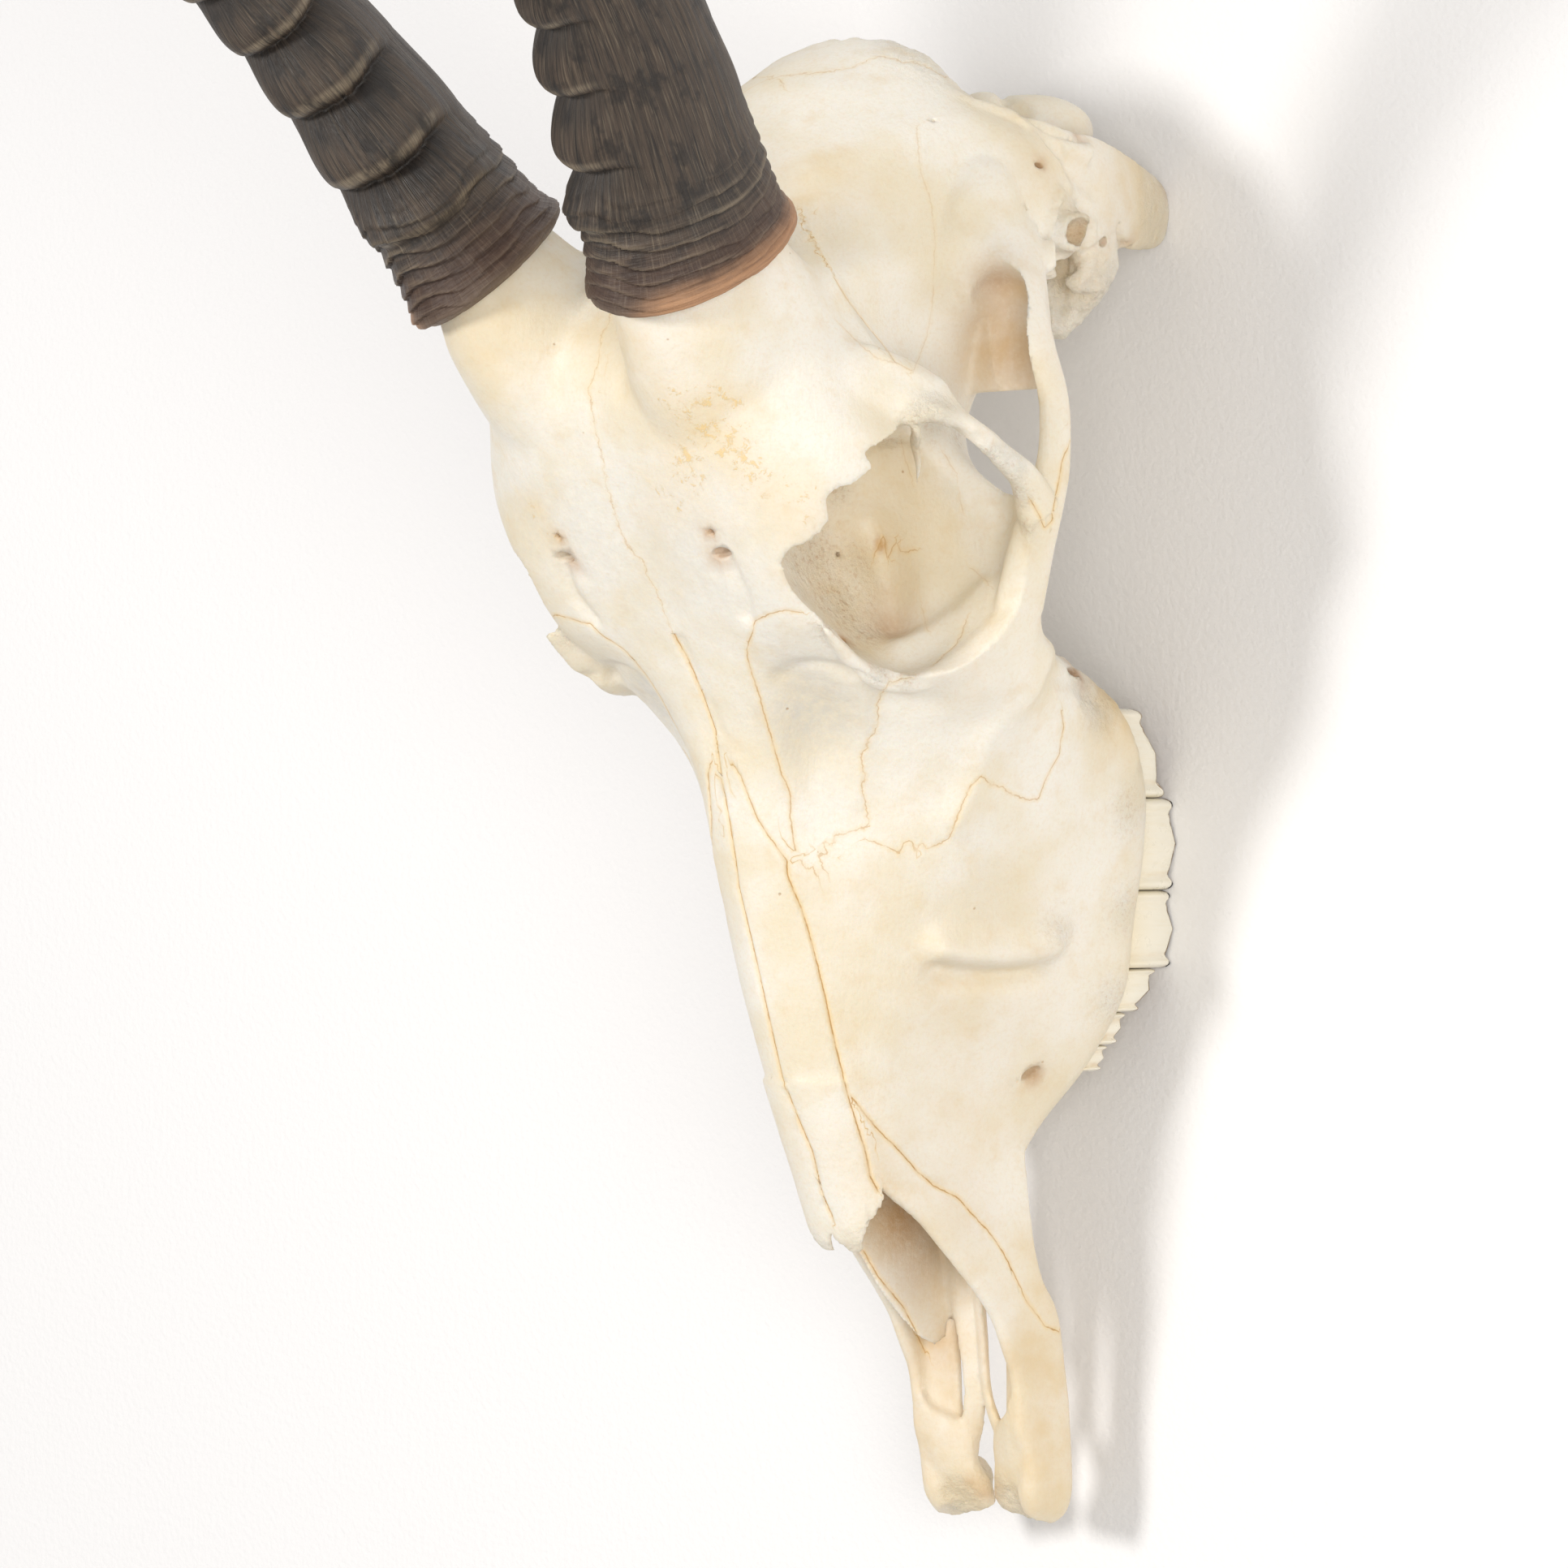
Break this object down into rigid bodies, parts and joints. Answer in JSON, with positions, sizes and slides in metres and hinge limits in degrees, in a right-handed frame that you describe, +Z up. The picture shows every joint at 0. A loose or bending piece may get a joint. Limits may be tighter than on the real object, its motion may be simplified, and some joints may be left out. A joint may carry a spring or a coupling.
{
  "type": "blesbok skull",
  "caption": "Skull of a blesbok antelope without its lower jaw, with ridged curving horn sheaths on bony cores and cheek teeth in their sockets, resting on its teeth.",
  "frame": {"origin": "on the resting surface, under the middle of the box round the whole skull with its horns", "axes": "+X to the animal's left, +Y from the muzzle to the back of the head, +Z up from the teeth to the horn tips"},
  "size_m": [0.1656, 0.4029, 0.4531],
  "materials": {
    "bone": "dry bleached bone, matt to satin, ivory with cream hollows",
    "horn": "keratin horn, dark grey-brown, ridged across and finely fibrous along",
    "enamel": "worn tooth enamel, creamy white, satin"
  },
  "bodies": {
    "root": {"cranium": "bone", "horn_sheath_left": "horn", "horn_sheath_right": "horn", "premolar_2_left": "enamel", "premolar_2_right": "enamel", "premolar_3_left": "enamel", "premolar_3_right": "enamel", "premolar_4_left": "enamel", "premolar_4_right": "enamel", "molar_1_left": "enamel", "molar_1_right": "enamel", "molar_2_left": "enamel", "molar_2_right": "enamel", "molar_3_left": "enamel", "molar_3_right": "enamel"}
  },
  "joints": []
}
